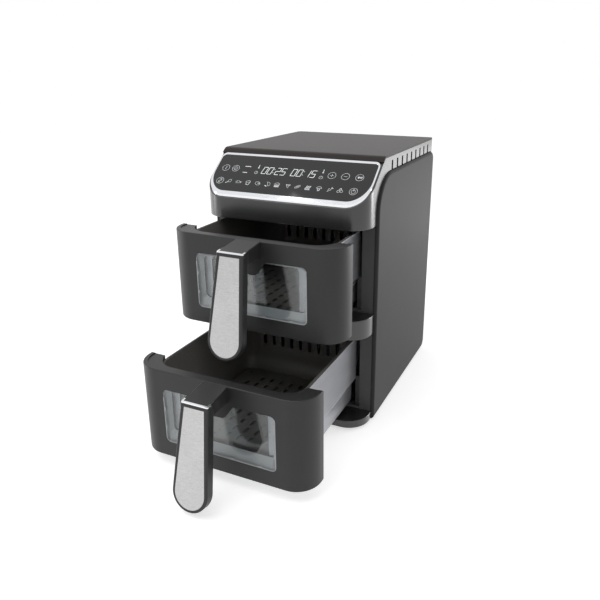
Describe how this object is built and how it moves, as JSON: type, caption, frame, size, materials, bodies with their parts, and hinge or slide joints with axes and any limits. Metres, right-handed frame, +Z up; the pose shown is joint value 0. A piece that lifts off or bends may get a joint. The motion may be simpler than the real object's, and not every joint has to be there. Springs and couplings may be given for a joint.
{
  "type": "air fryer",
  "caption": "Stacked-drawer air fryer: windowed pull-out drawers with leaning handles, a sloped touch panel in a chrome bezel, crisper trays and rear hot-air fans.",
  "frame": {"origin": "on the worktop, under the centre of the bounding box with the drawers open as pictured", "axes": "+X to the right seen from the front, the front faces -Y, +Z up"},
  "size_m": [0.266, 0.5915, 0.4],
  "materials": {
    "satin_black_panel": "satin moulded plastic",
    "gloss_black_case": "gloss moulded plastic",
    "dark_grey_side": "satin moulded plastic",
    "brown_black_top": "satin moulded plastic",
    "chrome_trim": "polished",
    "control_glass": "polished black glass",
    "matte_black_inner": "matte moulded plastic",
    "rubber": "matte rubber",
    "galvanised_steel": "plain sheet",
    "coated_steel": "black coating on steel",
    "heater_sheath": "heat-darkened sheath",
    "motor_steel": "plated steel",
    "fan_aluminium": "stamped sheet",
    "circuit_board": "solder mask",
    "clear_window": "clear",
    "light_grey_frame": "smooth moulded plastic",
    "non_stick": "non-stick coating on steel",
    "brushed_inlay": "brushed",
    "screw_steel": "zinc plated",
    "ferrite": "sintered",
    "silicone": "matte silicone"
  },
  "bodies": {
    "housing": {"base_pan": "gloss_black_case", "base_feet": "rubber", "side_panel_left": "dark_grey_side", "side_panel_right": "dark_grey_side", "head_shell": "gloss_black_case", "top_cover": "brown_black_top", "control_bezel": "chrome_trim", "control_glass": "control_glass", "display_board": "circuit_board", "mid_rail": "gloss_black_case", "front_frame": "matte_black_inner", "rear_cover": "matte_black_inner", "cord_gland": "rubber", "case_screws": "screw_steel", "power_board": "circuit_board", "drawer_sensors": "matte_black_inner", "upper_liner": "galvanised_steel", "upper_runners": "coated_steel", "upper_heater_guard": "galvanised_steel", "upper_heater": "heater_sheath", "upper_motor": "motor_steel", "lower_liner": "galvanised_steel", "lower_runners": "coated_steel", "lower_heater_guard": "galvanised_steel", "lower_heater": "heater_sheath", "lower_motor": "motor_steel"},
    "upper_drawer": {"upper_front_panel": "satin_black_panel", "upper_panel_back": "matte_black_inner", "upper_window_lens": "clear_window", "upper_window_frame": "light_grey_frame", "upper_basket": "non_stick", "upper_basket_pane": "clear_window", "upper_pane_retainer": "galvanised_steel", "upper_handle": "satin_black_panel", "upper_handle_inlay": "brushed_inlay", "upper_handle_trim": "chrome_trim", "upper_screws": "screw_steel", "upper_magnet": "ferrite"},
    "upper_tray": {"upper_crisper_tray": "non_stick", "upper_tray_bumpers": "silicone"},
    "upper_fan": {"upper_fan_shaft": "screw_steel", "upper_hot_fan": "fan_aluminium", "upper_cooling_fan": "fan_aluminium"},
    "lower_drawer": {"lower_front_panel": "satin_black_panel", "lower_panel_back": "matte_black_inner", "lower_window_lens": "clear_window", "lower_window_frame": "light_grey_frame", "lower_basket": "non_stick", "lower_basket_pane": "clear_window", "lower_pane_retainer": "galvanised_steel", "lower_handle": "satin_black_panel", "lower_handle_inlay": "brushed_inlay", "lower_handle_trim": "chrome_trim", "lower_screws": "screw_steel", "lower_magnet": "ferrite"},
    "lower_tray": {"lower_crisper_tray": "non_stick", "lower_tray_bumpers": "silicone"},
    "lower_fan": {"lower_fan_shaft": "screw_steel", "lower_hot_fan": "fan_aluminium", "lower_cooling_fan": "fan_aluminium"}
  },
  "joints": [
    {"name": "upper_drawer_slide", "type": "slide", "parent": "housing", "child": "upper_drawer", "axis": [0, -1, 0], "range_m": [-0.085, 0.165]},
    {"name": "upper_tray_lift", "type": "slide", "parent": "upper_drawer", "child": "upper_tray", "axis": [0, 0, 1], "range_m": [0, 0.09]},
    {"name": "upper_fan_spin", "type": "hinge", "parent": "housing", "child": "upper_fan", "pos_m": [0, 0.2199, 0.2425], "axis": [0, 1, 0], "continuous": true},
    {"name": "lower_drawer_slide", "type": "slide", "parent": "housing", "child": "lower_drawer", "axis": [0, -1, 0], "range_m": [-0.176, 0.074]},
    {"name": "lower_tray_lift", "type": "slide", "parent": "lower_drawer", "child": "lower_tray", "axis": [0, 0, 1], "range_m": [0, 0.09]},
    {"name": "lower_fan_spin", "type": "hinge", "parent": "housing", "child": "lower_fan", "pos_m": [0, 0.2199, 0.082], "axis": [0, 1, 0], "continuous": true}
  ]
}
